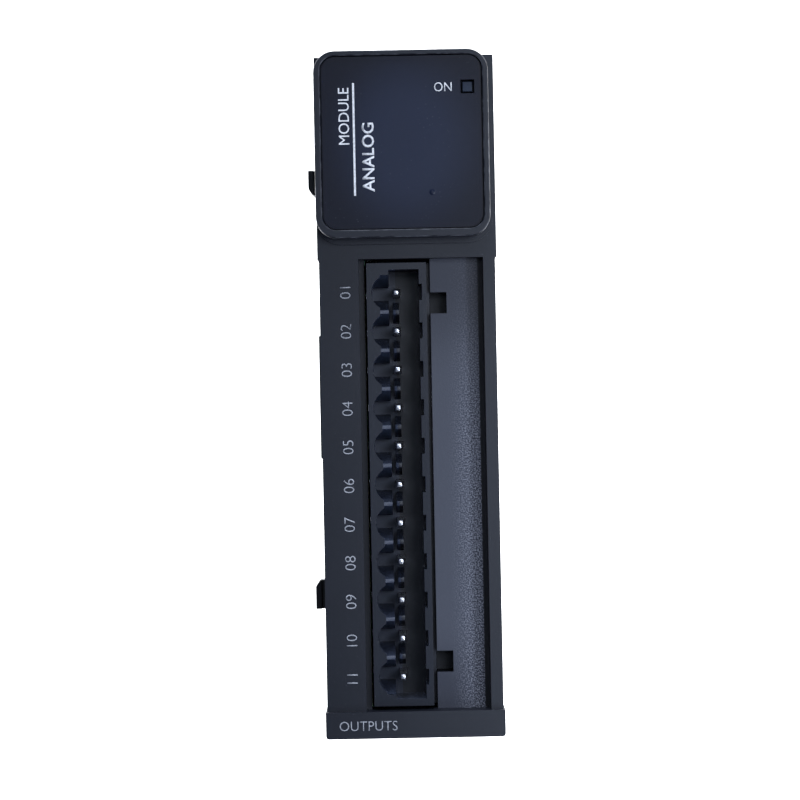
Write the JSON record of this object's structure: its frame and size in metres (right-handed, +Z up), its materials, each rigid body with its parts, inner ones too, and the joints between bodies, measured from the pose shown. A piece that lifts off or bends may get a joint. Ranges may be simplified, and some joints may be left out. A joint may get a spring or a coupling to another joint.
{
  "type": "rail-mounted expansion module",
  "caption": "Narrow black control-cabinet expansion module that clips on a 35 mm rail, with a raised display nose, a pluggable terminal header and a side lock.",
  "frame": {"origin": "middle of the flat at the back that rests on the rail's lips, on the rail's centre line", "axes": "+X to the right as seen from the front, +Y out of the back towards the rail, +Z up along the module's height"},
  "size_m": [0.0252, 0.07, 0.09],
  "materials": {
    "casing": "moulded, fine spark-eroded texture",
    "panel": "smooth satin film",
    "light_pipe": "clear polished",
    "lamp": "cast resin",
    "latch": "satin moulded",
    "header": "smooth moulded",
    "contact": "tin plated",
    "board": "solder resist",
    "chip": "moulded epoxy",
    "ferrite": "sintered, matt",
    "winding": "enamelled copper wire",
    "can": "tinned sheet",
    "sleeve": "shrink sleeve",
    "label": "satin film"
  },
  "bodies": {
    "module": {"front_cover": "casing", "rear_housing": "casing", "display_panel": "panel", "light_pipe": "light_pipe", "power_lamp": "lamp", "terminal_header": "header", "main_board": "board", "logic_board": "board", "bus_plug": "header", "bus_socket": "header", "link_header": "header", "link_socket": "header", "rating_label": "label", "transformer_core": "ferrite", "transformer_bobbin": "winding", "supply_converter": "can", "power_inductor": "ferrite", "input_fuse": "chip", "output_converter_chip": "chip", "output_driver_1": "chip", "output_driver_2": "chip", "voltage_reference": "chip", "isolator_1": "chip", "isolator_2": "chip", "processor": "chip", "bus_driver": "chip", "logic_regulator": "chip", "surge_suppressor_1": "chip", "surge_suppressor_2": "chip", "clock_crystal": "can", "supply_capacitor_1": "sleeve", "supply_capacitor_2": "sleeve", "output_capacitor": "sleeve", "terminal_pin_01": "contact", "terminal_pin_02": "contact", "terminal_pin_03": "contact", "terminal_pin_04": "contact", "terminal_pin_05": "contact", "terminal_pin_06": "contact", "terminal_pin_07": "contact", "terminal_pin_08": "contact", "terminal_pin_09": "contact", "terminal_pin_10": "contact", "terminal_pin_11": "contact"},
    "side_lock": {"lock_slider": "latch"},
    "clip": {"rail_clip": "latch"}
  },
  "joints": [
    {"name": "side_lock_slide", "type": "slide", "parent": "module", "child": "side_lock", "axis": [0, 0, 1], "range_m": [0, 0.0045]},
    {"name": "rail_clip_slide", "type": "slide", "parent": "module", "child": "clip", "axis": [0, 0, -1], "range_m": [0, 0.0085], "stiffness_N_per_m": 1200, "springref_m": -0.002}
  ]
}
